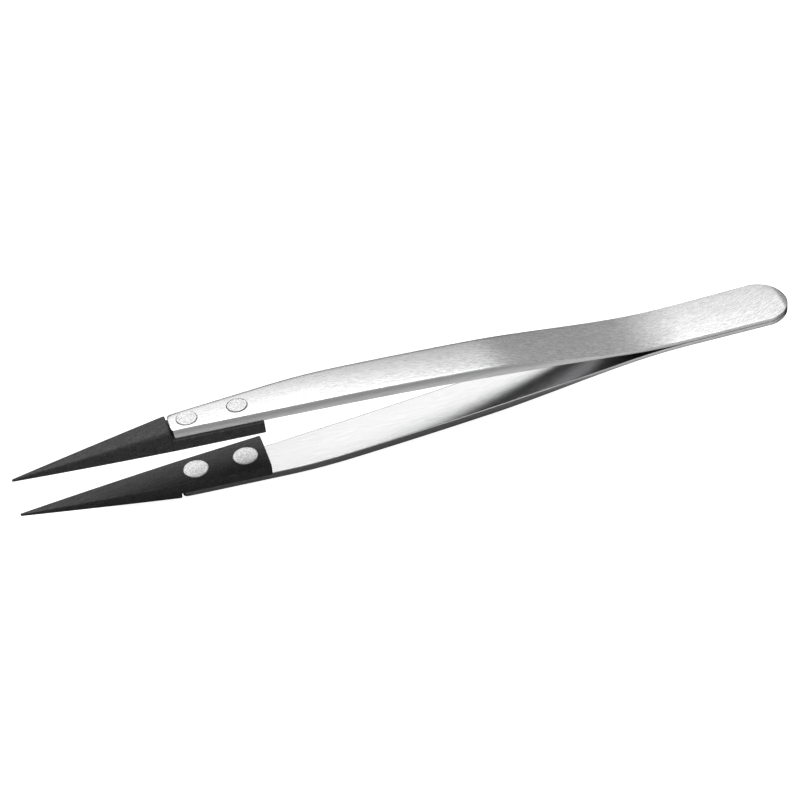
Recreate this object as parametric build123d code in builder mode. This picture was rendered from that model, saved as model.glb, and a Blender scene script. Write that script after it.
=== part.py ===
from build123d import *
import os

os.makedirs("parts", exist_ok=True)

# Fine-point assembly tweezers: two sprung steel arms, welded face to face at the tail,
# each with a plastic tip riveted on. +Z is the way the arms open, -X points to the tips.
# Distances along the tweezers are measured from the tail end. Millimetres throughout.

# Overall
overall_length = 130.0

# Arm, seen from the side: the arms touch over the root, then lift apart in three bends
root_end = 18.4
spring_end = 30.0
belly_start = 77.3
belly_end = 89.0
arm_end = 104.2
spring_slope = 0.121
handle_slope = 0.064

# Arm thickness: thin spring, thick handle
spring_thickness = 0.7
blade_thickness = 1.72
swell_start = 30.7
swell_end = 53.2

# Arm, seen from above: a long slow taper, then a faster one to the tips
tail_half_width = 4.95
handle_taper = 0.0117
front_taper = 0.0744
taper_corner_start = 78.0
taper_corner_end = 87.0
flank_draft = 0.37
front_corner_radius = 0.5

# Where each arm is cut into its spring and its blade, at the middle of the bending zone
flex_line = 32.0

# Tip moulding: tang on the inside of the arm, shoulder in front of it, fine point
shoulder = 104.5
shoulder_sunk = 0.08
shoulder_outer_half_width = 2.36
shoulder_inner_half_width = 3.07
point_half_width = 0.16
point_inner_lift = 3.46
point_outer_lift = 3.82
edge_cut = 0.16
tang_end = 89.7
tang_thickness = 1.87
tang_rear_half_width = 4.17
tang_draft = 0.25

# Rivets
front_rivet = 101.3
rear_rivet = 93.1
shank_radius = 1.71
rivet_hole_radius = 1.74
head_radius = 2.1
head_pocket_radius = 2.13
head_thickness = 0.55
head_proud = 0.16

# Spot welds between the two arms
weld_distances = (6.0, 12.5)
weld_radius = 1.5
weld_thickness = 0.4


def rise(distance, start, end, slope_before, slope_after):
    """Rise up to a distance, over one stretch whose slope changes evenly."""
    run = min(max(distance - start, 0.0), end - start)
    slope_gain = (slope_after - slope_before) / (end - start)
    return run * (slope_before + slope_gain * run / 2)


def inner_lift(distance):
    """Height of an arm's inner face above the mid-plane."""
    root_bend = rise(distance, root_end, spring_end, 0.0, spring_slope)
    handle = rise(distance, spring_end, belly_start, spring_slope, handle_slope)
    belly = rise(distance, belly_start, belly_end, handle_slope, 0.0)
    return root_bend + handle + belly


def swell(distance):
    """0 in the thin spring and 1 in the thick blade, with a smooth change between."""
    share = min(max((distance - swell_start) / (swell_end - swell_start), 0.0), 1.0)
    return share * share * (3 - 2 * share)


def arm_thickness(distance):
    return spring_thickness + (blade_thickness - spring_thickness) * swell(distance)


def inner_half_width(distance):
    """Half the width of an arm's inner face."""
    handle = rise(distance, 0.0, taper_corner_start, handle_taper, handle_taper)
    corner = rise(distance, taper_corner_start, taper_corner_end, handle_taper, front_taper)
    front = rise(distance, taper_corner_end, arm_end, front_taper, front_taper)
    return tail_half_width - handle - corner - front


front_lift = inner_lift(arm_end)
mid_height = front_lift + blade_thickness
shoulder_outer_lift = mid_height - shoulder_sunk
mid_plane = Plane.XY.offset(mid_height)


def row_x(distance):
    """X of a place at a distance from the tail end."""
    return overall_length / 2 - distance


def stations(start, end, count):
    """Evenly spaced distances from start to end."""
    return [start + (end - start) * step / (count - 1) for step in range(count)]


def arm_section(distance):
    """An arm's cross-section: wide at the inner face, narrower at the outer face."""
    inner_y = inner_half_width(distance)
    outer_y = inner_y - flank_draft * swell(distance)
    inner_z = mid_height + inner_lift(distance)
    outer_z = inner_z + arm_thickness(distance)
    corners = [(-inner_y, inner_z), (inner_y, inner_z), (outer_y, outer_z), (-outer_y, outer_z)]
    with BuildSketch(Plane.YZ.offset(row_x(distance))) as section:
        with BuildLine():
            Polyline(*corners, close=True)
        make_face()
    return section.sketch


def flank_plane(side):
    """Plane of a blade's flank over its straight front, facing outwards. side is 1 or -1."""
    base = Vector(row_x(belly_end), side * inner_half_width(belly_end), mid_height + front_lift)
    front = Vector(row_x(arm_end), side * inner_half_width(arm_end), mid_height + front_lift)
    lean = Vector(0, -side * flank_draft, blade_thickness)
    along = (base - front) * side
    return Plane(origin=base, x_dir=along, z_dir=lean.cross(along))


def block_section(distance, inner_y, outer_y, inner_lift_here, outer_lift_here, cut):
    """A tip's cross-section, with its four corners cut off."""
    low = mid_height + inner_lift_here
    high = mid_height + outer_lift_here
    lean = (inner_y - outer_y) * cut / (high - low)
    half = [
        (inner_y - cut, low),
        (inner_y - lean, low + cut),
        (outer_y + lean, high - cut),
        (outer_y - cut, high),
    ]
    other_half = [(-y, z) for y, z in reversed(half)]
    with BuildSketch(Plane.YZ.offset(row_x(distance))) as section:
        with BuildLine():
            Polyline(*half, *other_half, close=True)
        make_face()
    return section.sketch


def write(piece, name):
    piece.part.label = name
    export_step(piece.part, f"parts/{name}.step")


# Spring: the flat welded root with its rounded tail end, and the thin bend in front of it
with BuildPart() as upper_arm_spring:
    with BuildSketch(mid_plane) as root_outline:
        with BuildLine():
            tail_arc = ThreePointArc(
                (row_x(tail_half_width), -tail_half_width),
                (row_x(0), 0),
                (row_x(tail_half_width), tail_half_width),
            )
            root_half_width = inner_half_width(root_end)
            Polyline(
                tail_arc @ 1,
                (row_x(root_end), root_half_width),
                (row_x(root_end), -root_half_width),
                tail_arc @ 0,
            )
        make_face()
    extrude(amount=spring_thickness)
    loft(sections=[arm_section(d) for d in stations(root_end, flex_line, 6)])
    with Locations(*[(row_x(d), 0, mid_height) for d in weld_distances]):
        Cylinder(weld_radius, weld_thickness, mode=Mode.SUBTRACT)

with BuildPart() as lower_arm_spring:
    mirror(upper_arm_spring.part, about=mid_plane)

# Welds: one flat nugget at each spot, half in each arm
with BuildPart() as tail_spot_welds:
    with Locations(*[(row_x(d), 0, mid_height) for d in weld_distances]):
        Cylinder(weld_radius, weld_thickness)

# Blade: the thick handle, the belly bend and the straight front, drilled for two rivets
with BuildPart() as upper_arm_blade:
    with BuildSketch(mid_plane.offset(front_lift)) as front_outline:
        with Locations(((row_x(belly_end) + row_x(arm_end)) / 2, 0)):
            Rectangle(arm_end - belly_end, 2 * tail_half_width)
    extrude(amount=blade_thickness)
    split(bisect_by=flank_plane(1), keep=Keep.BOTTOM)
    split(bisect_by=flank_plane(-1), keep=Keep.BOTTOM)
    loft(sections=[arm_section(d) for d in stations(flex_line, belly_start, 9)])
    loft(sections=[arm_section(d) for d in stations(belly_start, belly_end, 5)])
    front_edges = upper_arm_blade.edges().group_by(Axis.X)[0]
    fillet(front_edges.filter_by(Axis.Y, reverse=True), front_corner_radius)
    with Locations((row_x(front_rivet), 0, mid_height), (row_x(rear_rivet), 0, mid_height)):
        Cylinder(rivet_hole_radius, 4 * front_lift, mode=Mode.SUBTRACT)

with BuildPart() as lower_arm_blade:
    mirror(upper_arm_blade.part, about=mid_plane)

# Tip: shoulder and fine point, then the tang with its two rivet holes and head pockets
tang_lift = front_lift - tang_thickness
tang_front_outer = shoulder_inner_half_width - tang_draft
tang_rear_outer = tang_rear_half_width - tang_draft
with BuildPart() as upper_tip:
    shoulder_section = block_section(
        shoulder,
        shoulder_inner_half_width,
        shoulder_outer_half_width,
        tang_lift,
        shoulder_outer_lift,
        edge_cut,
    )
    point_section = block_section(
        overall_length,
        point_half_width,
        point_half_width * 0.8,
        point_inner_lift,
        point_outer_lift,
        edge_cut / 4,
    )
    loft(sections=[shoulder_section, point_section], ruled=True)
    tang_front_section = block_section(
        shoulder, shoulder_inner_half_width, tang_front_outer, tang_lift, front_lift, 0.02
    )
    tang_rear_section = block_section(
        tang_end, tang_rear_half_width, tang_rear_outer, tang_lift, front_lift, 0.02
    )
    loft(sections=[tang_front_section, tang_rear_section], ruled=True)
    with Locations((row_x(front_rivet), 0, mid_height), (row_x(rear_rivet), 0, mid_height)):
        Cylinder(rivet_hole_radius, 4 * front_lift, mode=Mode.SUBTRACT)
    pocket_top = mid_height + tang_lift + head_thickness - head_proud
    with Locations((row_x(front_rivet), 0, pocket_top), (row_x(rear_rivet), 0, pocket_top)):
        Cylinder(
            head_pocket_radius,
            head_thickness,
            align=(Align.CENTER, Align.CENTER, Align.MAX),
            mode=Mode.SUBTRACT,
        )

with BuildPart() as lower_tip:
    mirror(upper_tip.part, about=mid_plane)


def rivet(distance):
    """Flat-headed rivet, head on the tang and its end flush with the arm's outer face."""
    head_base = mid_height + tang_lift - head_proud
    shank_length = blade_thickness + tang_thickness + head_proud
    with BuildPart(Plane((row_x(distance), 0, head_base))) as piece:
        Cylinder(shank_radius, shank_length, align=(Align.CENTER, Align.CENTER, Align.MIN))
        Cylinder(head_radius, head_thickness, align=(Align.CENTER, Align.CENTER, Align.MIN))
    return piece


upper_front_rivet = rivet(front_rivet)
upper_rear_rivet = rivet(rear_rivet)

with BuildPart() as lower_front_rivet:
    mirror(upper_front_rivet.part, about=mid_plane)

with BuildPart() as lower_rear_rivet:
    mirror(upper_rear_rivet.part, about=mid_plane)

write(upper_arm_spring, "upper_arm_spring")
write(lower_arm_spring, "lower_arm_spring")
write(tail_spot_welds, "tail_spot_welds")
write(upper_arm_blade, "upper_arm_blade")
write(lower_arm_blade, "lower_arm_blade")
write(upper_tip, "upper_tip")
write(lower_tip, "lower_tip")
write(upper_front_rivet, "upper_front_rivet")
write(upper_rear_rivet, "upper_rear_rivet")
write(lower_front_rivet, "lower_front_rivet")
write(lower_rear_rivet, "lower_rear_rivet")
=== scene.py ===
import math

import bmesh
import bpy
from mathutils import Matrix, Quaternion, Vector


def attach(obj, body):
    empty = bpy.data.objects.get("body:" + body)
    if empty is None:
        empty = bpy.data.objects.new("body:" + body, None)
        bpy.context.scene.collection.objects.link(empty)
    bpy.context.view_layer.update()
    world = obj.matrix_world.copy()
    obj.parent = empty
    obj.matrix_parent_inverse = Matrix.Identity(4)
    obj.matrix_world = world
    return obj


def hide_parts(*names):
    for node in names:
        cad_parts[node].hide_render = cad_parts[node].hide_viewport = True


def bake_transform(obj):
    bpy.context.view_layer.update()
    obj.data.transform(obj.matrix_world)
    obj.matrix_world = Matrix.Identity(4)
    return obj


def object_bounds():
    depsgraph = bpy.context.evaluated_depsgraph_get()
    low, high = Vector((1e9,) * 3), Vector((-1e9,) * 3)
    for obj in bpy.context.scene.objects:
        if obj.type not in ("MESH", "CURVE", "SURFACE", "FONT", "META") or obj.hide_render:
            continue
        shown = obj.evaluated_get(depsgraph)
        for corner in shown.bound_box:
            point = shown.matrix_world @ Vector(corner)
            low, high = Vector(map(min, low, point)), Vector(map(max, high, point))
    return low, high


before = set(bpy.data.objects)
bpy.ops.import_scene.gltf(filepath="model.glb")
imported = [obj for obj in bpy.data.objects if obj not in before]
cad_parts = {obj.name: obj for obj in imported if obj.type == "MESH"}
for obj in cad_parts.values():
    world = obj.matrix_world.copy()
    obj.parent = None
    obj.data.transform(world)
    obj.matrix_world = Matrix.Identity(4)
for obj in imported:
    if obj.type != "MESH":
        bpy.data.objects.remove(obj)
cad_low, cad_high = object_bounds()

# Fine-point assembly tweezers. Lengths are in millimetres until a mesh is made, and
# distances along the tweezers are measured from the tail end towards the points.
MM = 0.001
OVERALL_LENGTH = (cad_high.x - cad_low.x) / MM
TAIL_X = cad_high.x / MM
MID_HEIGHT = (cad_low.z + cad_high.z) / 2 / MM

# Arm, seen from the side: start, end, slope before and slope after of each bend
ROOT_END = 18.4
SPRING_END = 30.0
BELLY_START = 77.3
BELLY_END = 89.0
ARM_END = 104.2
BENDS = (
    (ROOT_END, SPRING_END, 0.0, 0.121),
    (SPRING_END, BELLY_START, 0.121, 0.064),
    (BELLY_START, BELLY_END, 0.064, 0.0),
)
SPRING_THICKNESS = 0.7
BLADE_THICKNESS = 1.72
SWELL_START = 30.7
SWELL_END = 53.2

# Arm, seen from above: start, end, taper before and taper after of each stretch
TAIL_HALF_WIDTH = 4.95
TAPERS = (
    (0.0, 78.0, 0.0117, 0.0117),
    (78.0, 87.0, 0.0117, 0.0744),
    (87.0, ARM_END, 0.0744, 0.0744),
)
FLANK_DRAFT = 0.37
FRONT_CORNER = 0.55

# Finish of the arm's outer face: a crown, and a roll-off at its edges, its tail end and its
# front corners. SPRING_CROWN, FRONT_CROWN and SPRING_ROLL are shares of the full amount.
CROWN = 0.065
SPRING_CROWN = 0.6
FRONT_CROWN = 0.2
CROWN_FADE = 20.0
EDGE_ROLL = 0.035
SPRING_ROLL = 0.1
ROLL_WIDTH = 0.5
EDGE_RADIUS = 0.10
TAIL_ROLL = 0.12
TAIL_ROLL_LENGTH = 1.2
WORN_CORNER = 0.12
WORN_LENGTH = 1.8
WORN_START = 0.6

# Half the gap between the springs, and how far the front sinks below the rivet ends
SEAM = 0.03
FRONT_SUNK = 0.10
SINK_START = 76.0
SINK_END = 88.0

# Points of an arm's cross-section: steps of its rounded edges and of its roll-off, then
# places across its outer and its inner face, as shares of the half width
EDGE_STEPS = 4
ROLL_STEPS = 4
OUTER_SHARES = (0.75, 0.6, 0.4, 0.2, 0.0)
INNER_SHARES = (-0.94, -0.5, 0.0, 0.5, 0.94)

# Tip moulding. Radii are of the inner and the outer edges.
SHOULDER = 104.5
SHOULDER_SUNK = 0.08
SHOULDER_INNER_HALF_WIDTH = 3.07
SHOULDER_OUTER_HALF_WIDTH = 2.43
SHOULDER_RADII = (0.14, 0.98)
POINT_INNER_HALF_WIDTH = 0.16
POINT_OUTER_HALF_WIDTH = 0.13
POINT_INNER_LIFT = 3.46
POINT_OUTER_LIFT = 3.82
POINT_RADII = (0.06, 0.08)
TANG_END = 89.7
TANG_THICKNESS = 1.87
TANG_REAR_HALF_WIDTH = 4.17
TANG_DRAFT = 0.25
TANG_RADII = (0.13, 0.05)
TANG_CORNER = 0.35
TANG_GAP = 0.004

# Bow of the tip's inner edges, outer edges and inner face from the point to the shoulder,
# and the bulge across its inner face as a share of the half width
INNER_FULLNESS = 0.24
OUTER_FULLNESS = 0.3
LOW_FULLNESS = 0.15
INNER_BULGE = 0.04

# Rivets: the head sits on the tang. Each end is narrower than its hole by its end gap.
RIVETS = {"front": 101.3, "rear": 93.1}
SHANK_RADIUS = 1.71
HOLE_RADIUS = 1.74
HEAD_RADIUS = 2.1
HEAD_POCKET_RADIUS = 2.13
HEAD_THICKNESS = 0.55
HEAD_PROUD = 0.16
HEAD_RIM = 0.16
END_GAPS = {"front": 0.12, "rear": 0.19}
END_INSET = 0.002


def clamp(value, low=0.0, high=1.0):
    return min(max(value, low), high)


def mix(first, last, share):
    """Value that goes evenly from first to last as share goes from 0 to 1."""
    return first + (last - first) * share


def rise(distance, start, end, slope_before, slope_after):
    """Rise up to a distance, over one stretch whose slope changes evenly."""
    run = clamp(distance - start, 0.0, end - start)
    return run * (slope_before + (slope_after - slope_before) * run / (end - start) / 2)


def inner_lift(distance):
    """Height of an arm's inner face above the mid-plane."""
    return sum(rise(distance, *bend) for bend in BENDS)


def swell(distance):
    """0 in the thin spring and 1 in the thick blade, with a smooth change between."""
    share = clamp((distance - SWELL_START) / (SWELL_END - SWELL_START))
    return share * share * (3 - 2 * share)


def thickness(distance):
    """Thickness of an arm. Its front lies a hair below the rivet ends."""
    sunk = FRONT_SUNK * clamp((distance - SINK_START) / (SINK_END - SINK_START))
    return mix(SPRING_THICKNESS, BLADE_THICKNESS, swell(distance)) - sunk


def straight_half_width(distance):
    """Half the width of an arm's inner face, without the round ends."""
    return TAIL_HALF_WIDTH - sum(rise(distance, *taper) for taper in TAPERS)


def half_width(distance):
    """Half the width of an arm's inner face, with the round tail and front corners."""
    if distance < TAIL_HALF_WIDTH:
        return math.sqrt(TAIL_HALF_WIDTH**2 - (TAIL_HALF_WIDTH - distance) ** 2)
    into_corner = distance - (ARM_END - FRONT_CORNER)
    if into_corner > 0:
        cut = FRONT_CORNER - math.sqrt(max(FRONT_CORNER**2 - into_corner**2, 0.0))
        return straight_half_width(distance) - cut
    return straight_half_width(distance)


FRONT_LIFT = inner_lift(ARM_END)
TANG_LIFT = FRONT_LIFT - TANG_THICKNESS
SHOULDER_LIFT = MID_HEIGHT - SHOULDER_SUNK


# ---------------------------------------------------------------- mesh helpers

# How far a drill runs past the piece that it cuts, in mm, and the mesh limits, in metres
DRILL_CLEAR = 1.0
MERGE_DISTANCE = 1e-7
LEAST_EDGE = 1e-8
SHARP_ANGLE = math.radians(40)


def corner_arc(before, corner, after, radius, steps):
    """Points of the arc that rounds a polygon's corner."""
    before, corner, after = Vector(before), Vector(corner), Vector(after)
    a = (before - corner).normalized()
    b = (after - corner).normalized()
    half = math.acos(max(-1.0, min(1.0, a.dot(b)))) / 2
    centre = corner + (a + b).normalized() * radius / math.sin(half)
    first = corner + a * radius / math.tan(half) - centre
    last = corner + b * radius / math.tan(half) - centre
    turn = math.atan2(first.x * last.y - first.y * last.x, first.dot(last))
    arc = []
    for step in range(steps + 1):
        angle = turn * step / steps
        cos, sin = math.cos(angle), math.sin(angle)
        spoke = Vector((first.x * cos - first.y * sin, first.x * sin + first.y * cos))
        arc.append(centre + spoke)
    return arc


def loft_mesh(name, rings, finishes=None):
    """A closed mesh through rings of equal length, capped at both ends.

    Its UV map runs u round the ring and v from ring to ring, for the brushing direction.
    finishes gives the material number of each face round the ring.
    """
    made = bmesh.new()
    grain = made.loops.layers.uv.new("grain")
    rows = [[made.verts.new(point) for point in ring] for ring in rings]
    count = len(rings[0])
    for r, (row, next_row) in enumerate(zip(rows, rows[1:])):
        for i in range(count):
            j = (i + 1) % count
            face = made.faces.new((row[i], row[j], next_row[j], next_row[i]))
            face.material_index = finishes[i] if finishes else 0
            places = ((i, r), (i + 1, r), (i + 1, r + 1), (i, r + 1))
            for loop, (u, v) in zip(face.loops, places):
                loop[grain].uv = (u / count, v / len(rows))
    made.faces.new(rows[0])
    made.faces.new(rows[-1])
    return finish_mesh(name, made)


def shade(mesh):
    """Smooth shading with sharp edges."""
    mesh.shade_smooth()
    mesh.set_sharp_from_angle(angle=SHARP_ANGLE)


def finish_mesh(name, made):
    """Cleans a bmesh and turns it into a shaded object."""
    bmesh.ops.remove_doubles(made, verts=made.verts, dist=MERGE_DISTANCE)
    bmesh.ops.dissolve_degenerate(made, edges=made.edges, dist=LEAST_EDGE)
    bmesh.ops.recalc_face_normals(made, faces=made.faces)
    mesh = bpy.data.meshes.new(name)
    made.to_mesh(mesh)
    made.free()
    shade(mesh)
    piece = bpy.data.objects.new(name, mesh)
    bpy.context.scene.collection.objects.link(piece)
    return piece


def lathe_mesh(name, profile, x, segments=96):
    """A closed turned solid with a vertical axis. profile is (radius, z) from axis to axis."""
    made = bmesh.new()
    rows = []
    for radius, z in profile:
        if radius == 0:
            rows.append([made.verts.new((x * MM, 0, z * MM))] * segments)
            continue
        row = []
        for i in range(segments):
            angle = 2 * math.pi * i / segments
            point = (x + radius * math.cos(angle), radius * math.sin(angle), z)
            row.append(made.verts.new(Vector(point) * MM))
        rows.append(row)
    for row, next_row in zip(rows, rows[1:]):
        for i in range(segments):
            j = (i + 1) % segments
            corners = []
            for vert in (row[i], row[j], next_row[j], next_row[i]):
                if vert not in corners:
                    corners.append(vert)
            made.faces.new(corners)
    return finish_mesh(name, made)


def cut_away(piece, cutter):
    """Cuts one closed mesh out of another and keeps the result."""
    modifier = piece.modifiers.new("cut", "BOOLEAN")
    modifier.operation = "DIFFERENCE"
    modifier.solver = "EXACT"
    modifier.object = cutter
    graph = bpy.context.evaluated_depsgraph_get()
    mesh = bpy.data.meshes.new_from_object(piece.evaluated_get(graph), depsgraph=graph)
    piece.modifiers.clear()
    piece.data = mesh
    shade(mesh)
    bpy.data.objects.remove(cutter)


def row_point(distance, y, lift, side):
    """A place in the row frame, lift above the mid-plane on the upper arm's side."""
    return Vector((TAIL_X - distance, y, MID_HEIGHT + side * lift)) * MM


def turned_mesh(name, profile, distance, side):
    """A turned solid on a rivet's axis. profile is (radius, lift) from axis to axis."""
    levels = [(radius, MID_HEIGHT + side * lift) for radius, lift in profile]
    return lathe_mesh(name, levels, TAIL_X - distance)


def drill(piece, profile, side):
    """Cuts a turned profile out of a piece at both rivets."""
    for place, distance in RIVETS.items():
        cut_away(piece, turned_mesh(f"{piece.name}_{place}_drill", profile, distance, side))


# ---------------------------------------------------------------- arms


def arm_ring(distance, side):
    """Cross-section of an arm: flat inside, slightly crowned outside, edges rounded."""
    thick = swell(distance)
    height = thickness(distance)
    inner_y = half_width(distance)
    outer_y = inner_y - FLANK_DRAFT * thick
    seam = SEAM * (1 - thick)
    crown = CROWN * mix(SPRING_CROWN, 1.0, thick)
    crown *= clamp((ARM_END - distance) / CROWN_FADE, FRONT_CROWN)
    roll_width = min(ROLL_WIDTH, 0.3 * outer_y)
    edge_roll = EDGE_ROLL * mix(SPRING_ROLL, 1.0, thick)
    tail_roll = TAIL_ROLL * max(1 - distance / TAIL_ROLL_LENGTH, 0.0) ** 2
    worn_corner = WORN_CORNER * max(1 - (ARM_END - distance) / WORN_LENGTH, 0.0) ** 2
    edge_radius = min(EDGE_RADIUS, 0.3 * inner_y, 0.08 * height)

    def outer_height(share):
        into_roll = max(outer_y * (abs(share) - 1) / roll_width + 1, 0.0)
        into_corner = max(abs(share) - WORN_START, 0.0) / (1 - WORN_START)
        rolled = crown * share**2 + edge_roll * into_roll**2
        return height - tail_roll - worn_corner * into_corner**2 - rolled

    roll_share = roll_width / outer_y
    shares = [1 - roll_share * step / ROLL_STEPS for step in range(1, ROLL_STEPS + 1)]
    shares += OUTER_SHARES
    shares += [-share for share in reversed(shares[:-1])]
    face = [Vector((outer_y * share, outer_height(share))) for share in shares]
    inner_right, inner_left = Vector((inner_y, seam)), Vector((-inner_y, seam))
    outer_right = Vector((outer_y, outer_height(1)))
    outer_left = Vector((-outer_y, outer_height(1)))
    ring = corner_arc(inner_left, inner_right, outer_right, edge_radius, EDGE_STEPS)
    ring += corner_arc(inner_right, outer_right, face[0], edge_radius, EDGE_STEPS)
    ring += face
    ring += corner_arc(face[-1], outer_left, inner_left, edge_radius, EDGE_STEPS)
    ring += corner_arc(outer_left, inner_left, inner_right, edge_radius, EDGE_STEPS)
    ring += [Vector((share * inner_y, seam)) for share in INNER_SHARES]
    lift = inner_lift(distance)
    return [row_point(distance, y, lift + z, side) for y, z in ring]


def arm_finishes():
    """Material numbers round an arm's ring: 0 outer face, 1 flanks, 2 inner face."""
    outer_points = 2 * (ROLL_STEPS + len(OUTER_SHARES)) - 1
    flank = [1] * (EDGE_STEPS + 1)
    outer = [0] * (2 * EDGE_STEPS + outer_points + 1)
    inner = [2] * (len(INNER_SHARES) + 1)
    return flank + outer + flank + inner


def arm_stations():
    """Distances of the cross-sections: close together round the tail and the front."""
    tail_steps, straight_steps, front_steps = 20, 110, 8
    first_angle = 1.5
    stations = []
    for step in range(tail_steps):
        angle = math.radians(mix(first_angle, 90, step / tail_steps))
        stations.append(TAIL_HALF_WIDTH * (1 - math.cos(angle)))
    straight = ARM_END - FRONT_CORNER - TAIL_HALF_WIDTH
    for step in range(straight_steps):
        stations.append(TAIL_HALF_WIDTH + straight * step / straight_steps)
    for step in range(front_steps + 1):
        angle = math.radians(90 * step / front_steps)
        stations.append(ARM_END - FRONT_CORNER + FRONT_CORNER * math.sin(angle))
    return stations


def make_arm(name, side):
    """One arm, drilled. A cut keeps the faces' finishes only once the materials are there."""
    rings = [arm_ring(distance, side) for distance in arm_stations()]
    arm = loft_mesh(name, rings, arm_finishes())
    for material in STEELS:
        arm.data.materials.append(material)
    low = FRONT_LIFT - DRILL_CLEAR
    high = FRONT_LIFT + BLADE_THICKNESS + DRILL_CLEAR
    drill(arm, [(0.0, low), (HOLE_RADIUS, low), (HOLE_RADIUS, high), (0.0, high)], side)
    return arm


# ---------------------------------------------------------------- tips


def block_ring(distance, side, inner_y, outer_y, low, high, split, radii):
    """Cross-section of a tip. split is the height on its flanks where the tang ends."""
    inner_radius, outer_radius = radii
    lean = (inner_y - outer_y) / (high - low)
    split_y = inner_y - lean * (split - low)
    inner_right, inner_left = Vector((inner_y, low)), Vector((-inner_y, low))
    outer_right, outer_left = Vector((outer_y, high)), Vector((-outer_y, high))
    bulge = INNER_BULGE * inner_y
    inner_steps, outer_steps = 5, 6
    lower = [Vector((-split_y, split))]
    lower += corner_arc(outer_left, inner_left, inner_right, inner_radius, inner_steps)
    for share in (-0.6, -0.3, 0.0, 0.3, 0.6):
        lower.append(Vector((inner_y * share, low - bulge * (1 - share**2))))
    lower += corner_arc(inner_left, inner_right, outer_right, inner_radius, inner_steps)
    lower += [Vector((split_y, split))]
    upper = corner_arc(inner_right, outer_right, outer_left, outer_radius, outer_steps)
    upper += [Vector((0, high))]
    upper += corner_arc(outer_right, outer_left, inner_left, outer_radius, outer_steps)
    return [row_point(distance, y, lift, side) for y, lift in lower + upper]


def tip_ring(distance, side, shrink=0.0):
    """Cross-section of the solid tip in front of the shoulder."""
    share = (OVERALL_LENGTH - distance) / (OVERALL_LENGTH - SHOULDER)
    bow = share * (1 - share)
    inner_y = mix(POINT_INNER_HALF_WIDTH, SHOULDER_INNER_HALF_WIDTH, share)
    inner_y += INNER_FULLNESS * bow
    outer_y = mix(POINT_OUTER_HALF_WIDTH, SHOULDER_OUTER_HALF_WIDTH, share)
    outer_y += OUTER_FULLNESS * bow - shrink
    low = mix(POINT_INNER_LIFT, TANG_LIFT, share) - LOW_FULLNESS * bow
    high = mix(POINT_OUTER_LIFT, SHOULDER_LIFT, share) - shrink
    split = low + (high - low) * TANG_THICKNESS / (SHOULDER_LIFT - TANG_LIFT)
    if shrink:
        split = FRONT_LIFT
    radii = [mix(*ends, share) for ends in zip(POINT_RADII, SHOULDER_RADII)]
    return block_ring(distance, side, inner_y, outer_y, low, high, split, radii)


def tang_ring(distance, side, shrink=0.0):
    """Cross-section of the tang that lies on the inside of the arm."""
    share = (distance - TANG_END) / (SHOULDER - TANG_END)
    inner_y = mix(TANG_REAR_HALF_WIDTH, SHOULDER_INNER_HALF_WIDTH, share) - shrink
    outer_y = inner_y - TANG_DRAFT
    split_depth = 0.06
    high = FRONT_LIFT - TANG_GAP
    split = high - split_depth
    return block_ring(distance, side, inner_y, outer_y, TANG_LIFT, high, split, TANG_RADII)


def make_tip(name, side):
    """Blunted point, solid tip, rounded shoulder and tang, drilled and pocketed for rivets."""
    nose = ((0.01, 0.35), (0.04, 0.7), (0.1, 0.92), (0.2, 1.0))
    shoulder_round = ((0.22, 0.0), (0.12, 0.02), (0.04, 0.07), (0.0, 0.14))
    tip_steps, tang_steps, corner_steps = 26, 10, 5
    rings = []
    for back, scale in nose:
        ring = tip_ring(OVERALL_LENGTH - back, side)
        middle = sum(ring, Vector()) / len(ring)
        rings.append([middle + (point - middle) * scale for point in ring])
    for step in range(1, tip_steps):
        rings.append(tip_ring(mix(OVERALL_LENGTH, SHOULDER, step / tip_steps), side))
    for ahead, shrink in shoulder_round:
        rings.append(tip_ring(SHOULDER + ahead, side, shrink))
    rings.append(tang_ring(SHOULDER, side))
    for step in range(1, tang_steps + 1):
        distance = mix(SHOULDER, TANG_END + TANG_CORNER, step / tang_steps)
        rings.append(tang_ring(distance, side))
    for step in range(1, corner_steps + 1):
        angle = math.radians(90 * step / corner_steps)
        distance = TANG_END + TANG_CORNER * (1 - math.sin(angle))
        rings.append(tang_ring(distance, side, TANG_CORNER * (1 - math.cos(angle))))
    tip = loft_mesh(name, rings)
    low = TANG_LIFT - DRILL_CLEAR
    high = FRONT_LIFT + DRILL_CLEAR
    pocket_top = TANG_LIFT + HEAD_THICKNESS - HEAD_PROUD
    profile = [
        (0.0, low),
        (HEAD_POCKET_RADIUS, low),
        (HEAD_POCKET_RADIUS, pocket_top),
        (HOLE_RADIUS, pocket_top),
        (HOLE_RADIUS, high),
        (0.0, high),
    ]
    drill(tip, profile, side)
    return tip


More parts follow.
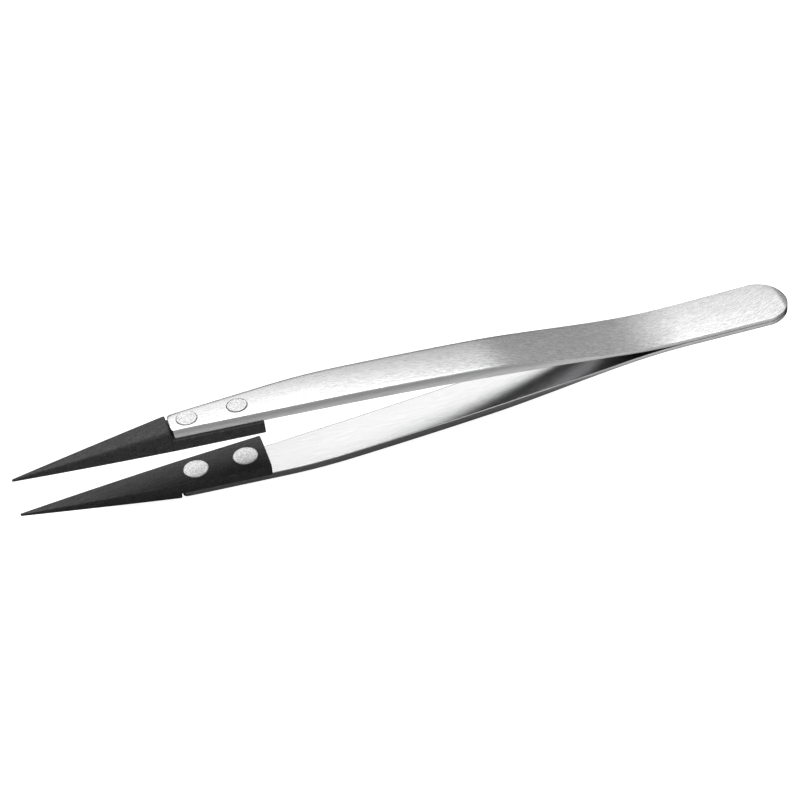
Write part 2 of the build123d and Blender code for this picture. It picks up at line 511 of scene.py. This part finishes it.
def make_rivet(name, place, side):
    """Flat head with a soft rim on the tang, and an end that stands just clear of its hole."""
    head = TANG_LIFT - HEAD_PROUD
    head_base = head + HEAD_THICKNESS
    end = FRONT_LIFT + BLADE_THICKNESS - END_INSET
    end_radius = HOLE_RADIUS - END_GAPS[place]
    dome = ((0.0, 0.0), (0.8, 0.002), (1.5, 0.006))
    rim_low = head + 0.012
    rim_steps = 5
    profile = [(radius, head + drop) for radius, drop in dome]
    for step in range(rim_steps + 1):
        angle = math.radians(90 * step / rim_steps)
        radius = HEAD_RADIUS - HEAD_RIM + HEAD_RIM * math.sin(angle)
        profile.append((radius, rim_low + HEAD_RIM * (1 - math.cos(angle))))
    shank_start = FRONT_LIFT + 0.1
    neck_start, neck_end = end - 0.5, end - 0.45
    worn_height, worn_width = 0.03, 0.02
    flat_radius = 0.8
    profile += [
        (HEAD_RADIUS, head_base),
        (SHANK_RADIUS, head_base),
        (SHANK_RADIUS, shank_start),
        (SHANK_RADIUS, neck_start),
        (end_radius, neck_end),
        (end_radius, end - worn_height),
        (end_radius - worn_width, end),
        (flat_radius, end),
        (0.0, end),
    ]
    return turned_mesh(name, profile, RIVETS[place], side)


# ---------------------------------------------------------------- materials


class Nodes:
    """Short way to add and join shader nodes."""

    def __init__(self, tree):
        self.tree = tree

    def add(self, kind, inputs=None, **settings):
        node = self.tree.nodes.new(kind)
        for key, value in settings.items():
            setattr(node, key, value)
        for key, value in (inputs or {}).items():
            if isinstance(value, bpy.types.NodeSocket):
                self.tree.links.new(value, node.inputs[key])
            else:
                node.inputs[key].default_value = value
        return node

    def math(self, operation, a, b=0.0, c=0.0):
        values = {0: a, 1: b, 2: c}
        return self.add("ShaderNodeMath", values, operation=operation).outputs[0]

    def spread(self, value, low, high, to_low, to_high, smooth=False):
        kind = "SMOOTHSTEP" if smooth else "LINEAR"
        values = {0: value, 1: low, 2: high, 3: to_low, 4: to_high}
        return self.add("ShaderNodeMapRange", values, interpolation_type=kind).outputs[0]

    def noise(self, vector, size, turn=0.0, detail=2.0):
        """Noise between 0 and 1. size is its grain in mm along each axis, turned about Z."""
        mapping = {
            "Vector": vector,
            "Rotation": (0, 0, math.radians(turn)),
            "Scale": [length * MM for length in size],
        }
        mapped = self.add("ShaderNodeMapping", mapping, vector_type="TEXTURE").outputs[0]
        values = {"Vector": mapped, "Scale": 1.0, "Detail": detail}
        return self.add("ShaderNodeTexNoise", values).outputs["Fac"]

    def weighted(self, *pairs):
        """Sum of values, each times its own weight."""
        total = 0.0
        for value, weight in pairs:
            total = self.math("MULTIPLY_ADD", value, weight, total)
        return total

    def blend_colour(self, factor, first, second):
        node = self.add("ShaderNodeMix", data_type="RGBA")
        sockets = [s for s in node.inputs if s.enabled]
        self.tree.links.new(factor, sockets[0])
        sockets[1].default_value = (*first, 1)
        sockets[2].default_value = (*second, 1)
        return [s for s in node.outputs if s.enabled][0]


def new_material(name):
    """A material, its node helper, its shader and the object's own coordinates."""
    material = bpy.data.materials.new(name)
    material.use_nodes = True
    nodes = Nodes(material.node_tree)
    shader = material.node_tree.nodes["Principled BSDF"]
    place = nodes.add("ShaderNodeTexCoord").outputs["Object"]
    return material, nodes, shader, place


def set_shader(nodes, shader, **sockets):
    """Sets or links the shader's inputs, by short names."""
    names = {
        "colour": "Base Color",
        "roughness": "Roughness",
        "normal": "Normal",
        "metallic": "Metallic",
        "specular": "Specular IOR Level",
        "anisotropic": "Anisotropic",
        "tangent": "Tangent",
        "coat": "Coat Weight",
        "coat_roughness": "Coat Roughness",
    }
    for key, value in sockets.items():
        socket = shader.inputs[names[key]]
        if isinstance(value, bpy.types.NodeSocket):
            nodes.tree.links.new(value, socket)
        else:
            socket.default_value = value


def steel(name, line_sizes, tones, roughness_range, bump_depth, anisotropic):
    """Satin steel with fine scratches along the arm, which fan out near the tail end.

    line_sizes are (length, width, turn, weight) of each layer of scratches, in mm and
    degrees. tones are the greys of its darkest and brightest scratches.
    """
    fan_start, fan_rate = 0.040, -12.0
    faint, strong = 0.42, 0.70
    material, nodes, shader, place = new_material(name)
    x, y, z = nodes.add("ShaderNodeSeparateXYZ", {0: place}).outputs
    past = nodes.math("MAXIMUM", nodes.math("SUBTRACT", x, fan_start), 0.0)
    bend = nodes.math("MULTIPLY", nodes.math("MULTIPLY", past, past), fan_rate)
    fanned_y = nodes.math("ADD", y, bend)
    fanned = nodes.add("ShaderNodeCombineXYZ", {0: x, 1: fanned_y, 2: z}).outputs[0]
    layers = []
    for length, width, turn, weight in line_sizes:
        layers.append((nodes.noise(fanned, (length, width, width), turn=turn), weight))
    lines = nodes.weighted(*layers)
    clouds = nodes.noise(place, (9.0, 3.0, 3.0), detail=1)
    strength = nodes.weighted((lines, 1.0), (clouds, 0.12))
    share = nodes.spread(strength, faint, strong, 0.0, 1.0)
    colour = nodes.blend_colour(share, *[(tone, tone, tone * 1.008) for tone in tones])
    roughness = nodes.spread(strength, faint, strong, *roughness_range)
    depth = bump_depth * MM
    bump = nodes.add("ShaderNodeBump", {"Strength": 0.5, "Distance": depth, "Height": lines})
    tangent = nodes.add("ShaderNodeTangent", direction_type="UV_MAP", uv_map="grain")
    set_shader(
        nodes,
        shader,
        colour=colour,
        roughness=roughness,
        normal=bump.outputs[0],
        metallic=1.0,
        anisotropic=anisotropic,
        tangent=tangent.outputs[0],
    )
    return material


def arm_steels():
    """The arm's finishes: brushed outer face, ground flanks, finely satined inner face."""
    outer_lines = ((1.0, 0.2, -5, 0.40), (0.6, 0.17, 4, 0.36), (2.0, 0.3, -9, 0.24))
    flank_lines = ((9.0, 0.16, 0, 0.5), (3.0, 0.25, 1, 0.5))
    inner_lines = ((4.0, 0.25, -5, 0.5), (1.6, 0.2, 3, 0.5))
    return (
        steel("brushed_steel", outer_lines, (0.51, 0.74), (0.23, 0.18), 0.010, 0.85),
        steel("ground_steel_flank", flank_lines, (0.56, 0.69), (0.23, 0.18), 0.006, 0.8),
        steel("satin_steel", inner_lines, (0.52, 0.58), (0.19, 0.17), 0.0012, 0.75),
    )


def black_plastic():
    """Black fibre-filled moulding with a satin skin."""
    material, nodes, shader, place = new_material("black_plastic")
    grain = nodes.noise(place, (0.25, 0.25, 0.25), detail=3)
    fibres = nodes.noise(place, (1.6, 0.3, 0.3), turn=8)
    clouds = nodes.noise(place, (3.0, 1.5, 1.5))
    speck = nodes.weighted((grain, 0.6), (fibres, 0.4))
    share = nodes.spread(speck, 0.35, 0.65, 0.0, 1.0)
    colour = nodes.blend_colour(share, (0.050, 0.050, 0.051), (0.114, 0.114, 0.115))
    roughness = nodes.weighted((clouds, 0.1), (grain, 0.1), (0.44, 1.0))
    bump = nodes.add("ShaderNodeBump", {"Strength": 0.6, "Distance": 0.03 * MM, "Height": speck})
    set_shader(
        nodes,
        shader,
        colour=colour,
        roughness=roughness,
        normal=bump.outputs[0],
        specular=0.08,
        coat=0.05,
        coat_roughness=0.35,
    )
    return material


def blasted_steel():
    """Rivet heads: steel with a fine matte blasted grain."""
    material, nodes, shader, place = new_material("blasted_steel")
    grain = nodes.noise(place, (0.2, 0.2, 0.2), detail=3)
    share = nodes.spread(grain, 0.3, 0.7, 0.0, 1.0)
    colour = nodes.blend_colour(share, (0.34, 0.34, 0.34), (0.86, 0.86, 0.86))
    roughness = nodes.spread(grain, 0.3, 0.7, 0.42, 0.52)
    bump = nodes.add("ShaderNodeBump", {"Strength": 0.5, "Distance": 0.03 * MM, "Height": grain})
    set_shader(
        nodes,
        shader,
        colour=colour,
        roughness=roughness,
        normal=bump.outputs[0],
        metallic=1.0,
    )
    return material


def ground_steel():
    """Rivet ends: ground flat, with very fine marks."""
    material, nodes, shader, place = new_material("ground_steel")
    marks = nodes.noise(place, (1.2, 0.2, 0.2), turn=-6)
    share = nodes.spread(marks, 0.3, 0.7, 0.0, 1.0)
    colour = nodes.blend_colour(share, (0.80, 0.80, 0.805), (0.86, 0.86, 0.865))
    roughness = nodes.spread(marks, 0.3, 0.7, 0.31, 0.28)
    set_shader(nodes, shader, colour=colour, roughness=roughness, metallic=1.0)
    return material


def shaded_rivet_wall():
    """Wall of a rivet down in its hole: near-black painted shade of the gap round it, mottled at
    random.
    """
    material, nodes, shader, place = new_material("shaded_rivet_wall")
    shade_mottle = nodes.noise(place, (0.6, 0.6, 0.2), detail=3)
    # Near-black colour: painted shade of the narrow gap round the rivet end, not the steel's own
    # tone
    colour = nodes.blend_colour(shade_mottle, (0.003, 0.003, 0.003), (0.02, 0.02, 0.02))
    roughness = nodes.spread(shade_mottle, 0.3, 0.7, 0.7, 0.5)
    set_shader(nodes, shader, colour=colour, roughness=roughness, metallic=0.4)
    return material


def weld_metal():
    """Fused weld metal between the arms."""
    material, nodes, shader, place = new_material("weld_metal")
    ripple = nodes.noise(place, (0.4, 0.4, 0.4), detail=3)
    colour = nodes.blend_colour(ripple, (0.30, 0.28, 0.27), (0.5, 0.48, 0.46))
    roughness = nodes.spread(ripple, 0.3, 0.7, 0.4, 0.6)
    set_shader(nodes, shader, colour=colour, roughness=roughness, metallic=1.0)
    return material


# ---------------------------------------------------------------- build

STEELS = arm_steels()
PLASTIC = black_plastic()
BLASTED = blasted_steel()
GROUND = ground_steel()
RIVET_WALL_SHADE = shaded_rivet_wall()
WELD = weld_metal()


def dress(piece, slot, *materials):
    """Gives a piece its materials. Its faces keep the material numbers they have."""
    piece.data.materials.clear()
    for material in materials:
        piece.data.materials.append(material)


def mark_rivet_end(rivet, side):
    """Puts a rivet's flat outer end in its second material, and its wall in the third, which is
    painted shade.
    """
    into_hole, nearly_flat = 0.2, 0.97
    edge = (MID_HEIGHT + side * (FRONT_LIFT + into_hole)) * MM
    for face in rivet.data.polygons:
        if (face.center.z - edge) * side > 0:
            face.material_index = 1 if abs(face.normal.z) > nearly_flat else 2


for arm_side, side in (("upper", 1), ("lower", -1)):
    arm = make_arm(f"{arm_side}_arm", side)
    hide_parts(f"{arm_side}_arm_spring", f"{arm_side}_arm_blade")
    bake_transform(arm)
    tip = make_tip(f"{arm_side}_tip_moulding", side)
    dress(tip, "tip_plastic", PLASTIC)
    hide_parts(f"{arm_side}_tip")
    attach(tip, f"{arm_side}_jaw")
    for place in RIVETS:
        rivet = make_rivet(f"{arm_side}_{place}_set_rivet", place, side)
        mark_rivet_end(rivet, side)
        # The third material paints the shade of the gap on the rivet's wall
        dress(rivet, "rivet_steel", BLASTED, GROUND, RIVET_WALL_SHADE)
        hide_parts(f"{arm_side}_{place}_rivet")
        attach(rivet, f"{arm_side}_jaw")

dress(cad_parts["tail_spot_welds"], "weld_steel", WELD)


# ---------------------------------------------------------------- floor, light and camera


def make_floor():
    """Pale floor. The object sees it dimmer than the camera does, in bands across Y, with painted
    shade under, beside and just behind the object.
    """
    made = bmesh.new()
    bmesh.ops.create_grid(made, x_segments=1, y_segments=1, size=2.0)
    floor = finish_mesh("floor", made)
    material, nodes, _, place = new_material("pale_floor")
    path = nodes.add("ShaderNodeLightPath")
    y = nodes.add("ShaderNodeSeparateXYZ", {0: place}).outputs[1]
    # Tone seen in reflections, painted shade: darkest under the object and up to 18 mm behind it,
    # dark beside its near side, paler further in front and far behind, dimmer again far in front
    far_front = nodes.spread(y, -0.060, -0.028, 0.3, 0.9, smooth=True)
    shade_beside = nodes.spread(y, -0.0145, -0.008, 0.9, 0.34, smooth=True)
    shade_under = nodes.spread(y, -0.005, -0.001, 1.0, 0.06, smooth=True)
    behind = nodes.spread(y, 0.018, 0.034, 0.06, 0.5, smooth=True)
    front = nodes.math("MINIMUM", nodes.math("MINIMUM", far_front, shade_beside), shade_under)
    tone = nodes.math("MAXIMUM", front, behind)
    pale = nodes.add("ShaderNodeBsdfDiffuse", {"Color": (0.5, 0.5, 0.5, 1)})
    dim = nodes.add("ShaderNodeBsdfDiffuse", {"Color": tone})
    glow = nodes.add("ShaderNodeEmission", {"Color": (1, 1, 1, 1), "Strength": 0.95})
    lit = nodes.add("ShaderNodeAddShader", {0: pale.outputs[0], 1: glow.outputs[0]})
    mixed = nodes.add(
        "ShaderNodeMixShader",
        {0: path.outputs["Is Camera Ray"], 1: dim.outputs[0], 2: lit.outputs[0]},
    )
    output = material.node_tree.nodes["Material Output"]
    material.node_tree.links.new(mixed.outputs[0], output.inputs["Surface"])
    floor.data.materials.append(material)


def make_world():
    """Soft studio: a high bright panel behind the object, a dim ceiling and dim walls.

    Azimuth is 0 behind the object and grows to the right.
    """
    world = bpy.data.worlds.new("studio")
    world.use_nodes = True
    bpy.context.scene.world = world
    nodes = Nodes(world.node_tree)

    def ramp(angle, start, end, first, last, smooth=True):
        """Value that goes from first to last between two angles in degrees."""
        return nodes.spread(angle, math.radians(start), math.radians(end), first, last, smooth)

    path = nodes.add("ShaderNodeLightPath")
    direction = nodes.add("ShaderNodeTexCoord").outputs["Generated"]
    x, y, z = nodes.add("ShaderNodeSeparateXYZ", {0: direction}).outputs
    azimuth = nodes.math("ARCTAN2", x, y)
    elevation = nodes.math("ARCSINE", z)

    least_slant, most_slant = 0.01, math.radians(4.5)
    slant = ramp(azimuth, 8, 26, least_slant, most_slant, smooth=False)
    above = nodes.math("ADD", elevation, slant)
    right_edge = ramp(azimuth, 28.4, 30.9, 1, 0)
    left_edge = ramp(azimuth, -110, -80, 0, 1)
    bottom_edge = ramp(above, 32.5, 57.5, 0.02, 1)
    top_edge = ramp(elevation, 68, 84, 1, 0.15)
    brightness = ramp(azimuth, 8, 26, 4.5, 3.7, smooth=False)
    sideways = nodes.math("MULTIPLY", right_edge, left_edge)
    upright = nodes.math("MULTIPLY", bottom_edge, top_edge)
    panel = nodes.math("MULTIPLY", sideways, upright)
    panel = nodes.math("MULTIPLY", panel, brightness)

    ceiling = ramp(elevation, 70, 80, 0, 0.7)

    right_wall = ramp(azimuth, 36, 48, 0.64, 0.12)
    beside_panel = ramp(azimuth, 20, 29, 0.1, 1)
    low_dim = ramp(elevation, 14, 34, 0.15, 1)
    back_walls = nodes.math("MULTIPLY", nodes.math("MULTIPLY", right_wall, beside_panel), low_dim)
    turned = nodes.math("ABSOLUTE", azimuth)
    front_wall = ramp(turned, 95, 130, 0, 0.85)
    diffuse_dim = nodes.spread(path.outputs["Is Diffuse Ray"], 0, 1, 1, 0.05)
    walls = nodes.math("MAXIMUM", back_walls, front_wall)
    walls = nodes.math("MULTIPLY", walls, diffuse_dim)

    light = nodes.math("MAXIMUM", nodes.math("MAXIMUM", panel, ceiling), walls)
    seen = nodes.math("MAXIMUM", light, path.outputs["Is Camera Ray"])
    background = world.node_tree.nodes["Background"]
    world.node_tree.links.new(seen, background.inputs["Strength"])
    background.inputs["Color"].default_value = (1, 1, 1, 1)


def make_camera():
    """Camera that looks down at the tweezers from the front, a little to the left."""
    azimuth, elevation, roll = (math.radians(angle) for angle in (-12.2522, 39.6051, -6.682))
    distance = 409.0 * MM
    target = Vector((-1.835, 0, 6.825)) * MM
    back = Vector(
        (
            math.sin(azimuth) * math.cos(elevation),
            -math.cos(azimuth) * math.cos(elevation),
            math.sin(elevation),
        )
    )
    data = bpy.data.cameras.new("camera")
    data.sensor_width = 36.0
    data.lens = 114.05
    data.clip_start = 0.01
    data.clip_end = 20.0
    camera = bpy.data.objects.new("camera", data)
    bpy.context.scene.collection.objects.link(camera)
    camera.rotation_mode = "QUATERNION"
    turn = Quaternion((0, 0, 1), roll)
    camera.rotation_quaternion = (-back).to_track_quat("-Z", "Y") @ turn
    camera.location = target + back * distance
    bpy.context.scene.camera = camera


make_floor()
make_world()
make_camera()
bpy.context.scene.view_settings.view_transform = "Standard"
